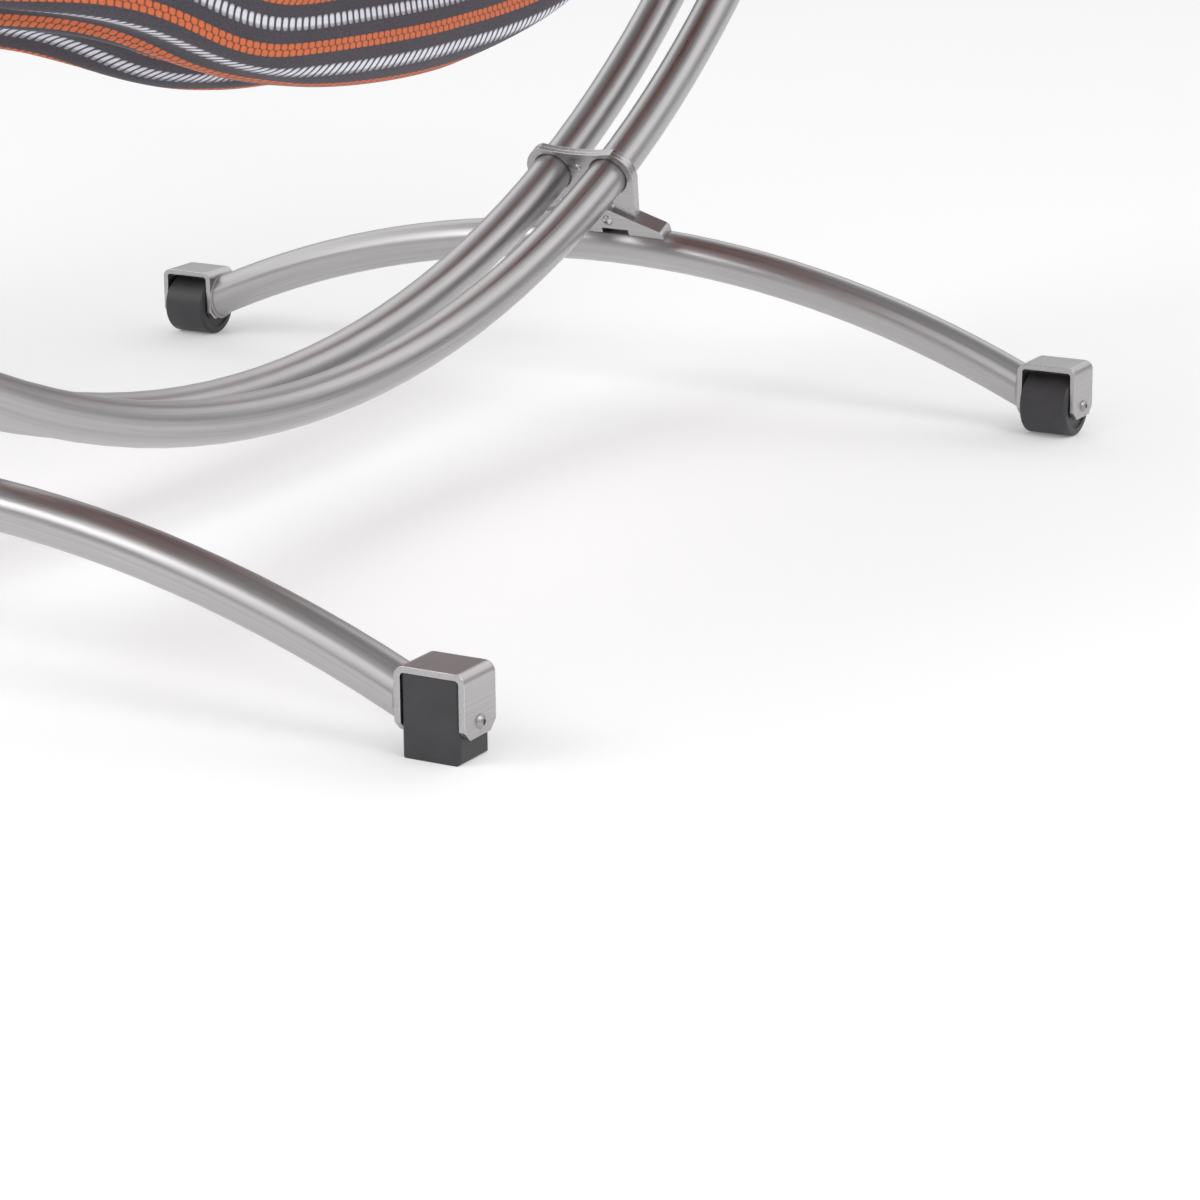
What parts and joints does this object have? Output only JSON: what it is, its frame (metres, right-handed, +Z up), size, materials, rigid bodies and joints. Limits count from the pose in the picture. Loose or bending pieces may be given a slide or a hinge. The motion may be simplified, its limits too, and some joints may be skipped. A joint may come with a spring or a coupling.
{
  "type": "hammock with stand",
  "caption": "Free-standing hammock on two parallel curved steel tubes, with arched cross feet, rear rollers, front pads and a striped cloth that swings from carabiners.",
  "frame": {"origin": "on the floor, under the middle of the stand", "axes": "+X along the stand towards the rollers, +Y across it, +Z up"},
  "size_m": [2.8494, 1.282, 1.2088],
  "materials": {
    "brushed_tube": "lengthwise brushed stainless tube, soft satin reflections",
    "satin_plate": "satin stainless plate with bright chamfered edges",
    "bright_fastener": "bright stainless bolts, screws, hooks and rings",
    "roller_plastic": "charcoal moulded plastic with a fine satin grain",
    "cap_plastic": "matt black moulded plastic",
    "hammock_cloth": "woven cotton, charcoal ground with orange and silver-white woven stripes",
    "binding_webbing": "tight woven orange webbing"
  },
  "bodies": {
    "stand": {"near_arc_middle": "brushed_tube", "near_arc_front": "brushed_tube", "near_arc_rear": "brushed_tube", "far_arc_middle": "brushed_tube", "far_arc_front": "brushed_tube", "far_arc_rear": "brushed_tube", "sleeve_near_front": "brushed_tube", "sleeve_near_rear": "brushed_tube", "sleeve_far_front": "brushed_tube", "sleeve_far_rear": "brushed_tube", "sleeve_screws": "bright_fastener", "tip_caps": "cap_plastic", "ring_plate_front_outer": "satin_plate", "ring_plate_front_inner": "satin_plate", "ring_plate_rear_outer": "satin_plate", "ring_plate_rear_inner": "satin_plate", "clamp_screws": "bright_fastener", "saddle_front": "satin_plate", "saddle_rear": "satin_plate", "saddle_bolts": "bright_fastener", "saddle_nuts": "bright_fastener", "foot_tube_front": "brushed_tube", "foot_tube_rear": "brushed_tube", "bracket_front_near": "satin_plate", "bracket_front_far": "satin_plate", "bracket_rear_near": "satin_plate", "bracket_rear_far": "satin_plate", "pad_near": "roller_plastic", "pad_far": "roller_plastic", "pad_bolts": "bright_fastener", "axle_bolt_near": "bright_fastener", "axle_bolt_far": "bright_fastener", "axle_sleeve_near": "bright_fastener", "axle_sleeve_far": "bright_fastener", "weld_nuts": "bright_fastener", "hanger_lug_front": "satin_plate", "hanger_lug_rear": "satin_plate", "hanger_bolts": "bright_fastener", "hanger_nuts": "bright_fastener", "hanger_washers": "bright_fastener", "hanger_spacers": "bright_fastener"},
    "hammock": {"carabiner_front": "bright_fastener", "carabiner_rear": "bright_fastener", "gate_pins": "bright_fastener", "end_ring_front": "bright_fastener", "end_ring_rear": "bright_fastener", "gathered_end_front": "hammock_cloth", "gathered_end_rear": "hammock_cloth", "binding_front": "binding_webbing", "binding_rear": "binding_webbing", "hammock_fabric": "hammock_cloth"},
    "gate_front": {"gate_front": "bright_fastener"},
    "gate_rear": {"gate_rear": "bright_fastener"},
    "wheel_near": {"wheel_near": "roller_plastic"},
    "wheel_far": {"wheel_far": "roller_plastic"}
  },
  "joints": [
    {"name": "hammock_swing", "type": "hinge", "parent": "stand", "child": "hammock", "pos_m": [0, 0, 1.08828], "axis": [1, 0, 0], "range_deg": [-25, 25]},
    {"name": "gate_front_hinge", "type": "hinge", "parent": "hammock", "child": "gate_front", "pos_m": [-1.2932, 0.014, 1.06577], "axis": [0.682, 0, 0.7314], "range_deg": [0, 22], "stiffness_Nm_per_rad": 0.2, "springref_deg": -11.46},
    {"name": "gate_rear_hinge", "type": "hinge", "parent": "hammock", "child": "gate_rear", "pos_m": [1.2932, 0.014, 1.06577], "axis": [0.682, 0, -0.7314], "range_deg": [0, 22], "stiffness_Nm_per_rad": 0.2, "springref_deg": -11.46},
    {"name": "wheel_near_spin", "type": "hinge", "parent": "stand", "child": "wheel_near", "pos_m": [0.67, -0.601, 0.036], "axis": [0, 1, 0], "continuous": true},
    {"name": "wheel_far_spin", "type": "hinge", "parent": "stand", "child": "wheel_far", "pos_m": [0.67, 0.601, 0.036], "axis": [0, 1, 0], "continuous": true}
  ]
}
